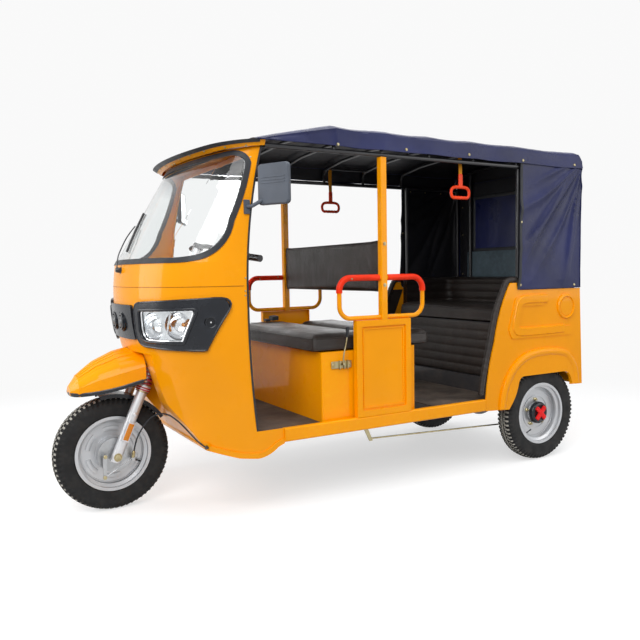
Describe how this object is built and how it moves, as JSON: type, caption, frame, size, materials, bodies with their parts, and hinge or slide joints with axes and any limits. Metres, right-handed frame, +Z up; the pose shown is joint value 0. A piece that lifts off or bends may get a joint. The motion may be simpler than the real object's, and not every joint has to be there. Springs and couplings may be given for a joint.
{
  "type": "auto rickshaw",
  "caption": "Three-wheeled passenger auto rickshaw with moulded cab, open sides with handrails, facing bench seats and a navy cloth roof over a steel frame.",
  "frame": {"origin": "on the ground, at the middle of the vehicle's length and width", "axes": "+X forward, +Y to the vehicle's left, +Z up"},
  "size_m": [2.8699, 1.3558, 1.7949],
  "materials": {
    "body_paint": "gloss amber-orange enamel",
    "black_rubber": "satin black rubber",
    "clear_glass": "clear safety glass",
    "dark_plastic": "satin charcoal plastic",
    "lamp_glass": "clear ribbed lamp cover",
    "mirror_glass": "silvered mirror",
    "black_steel": "semi-gloss black paint",
    "floor_sheet": "matte brown-grey ribbed mat",
    "seat_vinyl": "semi-matte black leathercloth",
    "seat_panel": "semi-gloss dark panel",
    "bright_zinc": "bright zinc plate",
    "roof_cloth": "navy coated canvas",
    "strap_plastic": "orange plastic and webbing",
    "motor_casting": "cast aluminium",
    "spring_steel": "black painted spring steel",
    "silver_paint": "silver enamel",
    "spring_red": "gloss red enamel",
    "wheel_alloy": "machined cast aluminium",
    "rim_silver": "silver rim enamel",
    "lamp_chrome": "faceted chromed reflector",
    "grip_rubber": "orange-red moulded rubber",
    "tail_glass": "red ribbed lamp cover",
    "tyre": "dusty black tread"
  },
  "bodies": {
    "body": {"cab_shell": "body_paint", "windscreen_seal": "black_rubber", "windscreen": "clear_glass", "headlight_bezels": "dark_plastic", "headlight_lenses": "lamp_glass", "horn_panel": "dark_plastic", "horns": "dark_plastic", "front_mudguard": "body_paint", "roof_visor": "body_paint", "headlight_reflectors": "lamp_chrome", "edge_trims": "black_rubber", "mirror_housings": "dark_plastic", "mirror_glasses": "mirror_glass", "chassis_frame": "black_steel", "floor_pan": "black_steel", "floor_mats": "floor_sheet", "sills": "body_paint", "seat_box": "body_paint", "driver_cushion": "seat_vinyl", "bench_cushion": "seat_vinyl", "backrest_pad": "seat_vinyl", "pillar_boxes": "body_paint", "door_pillars": "body_paint", "handrails": "body_paint", "handrail_grips": "grip_rubber", "parking_brake": "bright_zinc", "body_sides": "body_paint", "door_edge_pads": "seat_vinyl", "tail_lamps": "tail_glass", "rear_panel": "body_paint", "rear_seat_base": "seat_panel", "rear_cushion": "seat_vinyl", "rear_backrest": "seat_vinyl", "roof_frame": "black_steel", "canopy": "roof_cloth", "side_curtains": "roof_cloth", "rear_curtain": "roof_cloth", "grab_handles": "strap_plastic", "steering_tower": "body_paint", "dashboard": "dark_plastic", "rear_axle": "black_steel", "drive_motor": "motor_casting", "leaf_springs": "spring_steel", "brake_linkage": "bright_zinc", "brake_cable": "black_rubber"},
    "fork": {"fork": "silver_paint", "fork_springs": "spring_red", "handlebar": "black_steel", "front_brake_plate": "wheel_alloy", "inner_guard": "dark_plastic"},
    "front_wheel": {"front_tyre": "tyre", "front_rim": "rim_silver"},
    "rear_wheel_left": {"rear_tyre_left": "tyre", "rear_rim_left": "rim_silver"},
    "rear_wheel_right": {"rear_tyre_right": "tyre", "rear_rim_right": "rim_silver"}
  },
  "joints": [
    {"name": "steering", "type": "hinge", "parent": "body", "child": "fork", "pos_m": [1.1379, 0, 0.25104], "axis": [-0.3987, 0, 0.9171], "range_deg": [-40, 40], "deforming": ["brake_cable"]},
    {"name": "front_wheel_spin", "type": "hinge", "parent": "fork", "child": "front_wheel", "pos_m": [1.17, 0, 0.265], "axis": [0, 1, 0], "continuous": true},
    {"name": "rear_wheel_left_spin", "type": "hinge", "parent": "body", "child": "rear_wheel_left", "pos_m": [-1.12, 0.467, 0.265], "axis": [0, 1, 0], "continuous": true},
    {"name": "rear_wheel_right_spin", "type": "hinge", "parent": "body", "child": "rear_wheel_right", "pos_m": [-1.12, -0.467, 0.265], "axis": [0, 1, 0], "continuous": true}
  ]
}
